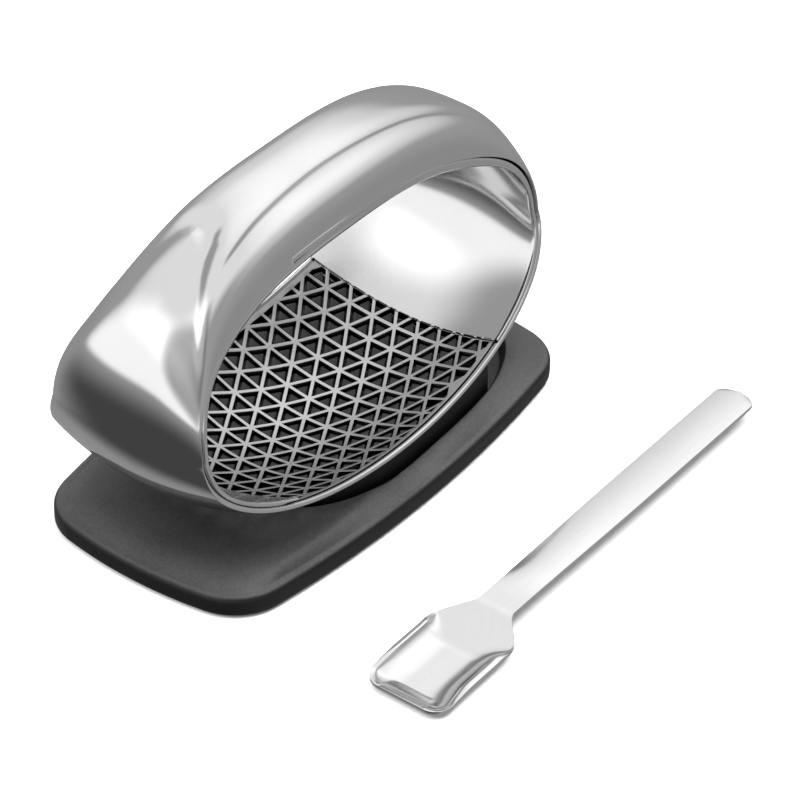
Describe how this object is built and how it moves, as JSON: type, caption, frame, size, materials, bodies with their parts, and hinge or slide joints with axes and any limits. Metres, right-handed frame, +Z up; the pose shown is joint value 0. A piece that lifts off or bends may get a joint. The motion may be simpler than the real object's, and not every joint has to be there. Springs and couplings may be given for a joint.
{
  "type": "garlic press",
  "caption": "Rocking loop garlic press with a perforated curved floor, a cleaning tray whose studs fill the holes, and a small scoop.",
  "frame": {"origin": "centre of the non-slip pad's underside, on the surface the tray stands on", "axes": "+Z up, +X along the tray's length towards the scoop's handle end, -Y towards the side the scoop lies on"},
  "size_m": [0.131, 0.1102, 0.0747],
  "materials": {
    "polished_shell": "mirror polished",
    "polished_liner": "polished",
    "plate_steel": "satin",
    "black_plastic": "fine matte grain",
    "pad_rubber": "matte",
    "scoop_steel": "polished"
  },
  "bodies": {
    "tray": {"base_tray": "black_plastic", "non_slip_pad": "pad_rubber"},
    "press": {"press_outer_shell": "polished_shell", "press_inner_liner": "polished_liner", "crushing_plate": "plate_steel"},
    "scoop": {"scoop": "scoop_steel"}
  },
  "joints": [
    {"name": "press_lift", "type": "slide", "parent": "tray", "child": "press", "axis": [0, 0, 1], "range_m": [0, 0.09]},
    {"name": "scoop_lift", "type": "slide", "parent": "tray", "child": "scoop", "axis": [0, 0, 1], "range_m": [0, 0.1]}
  ]
}
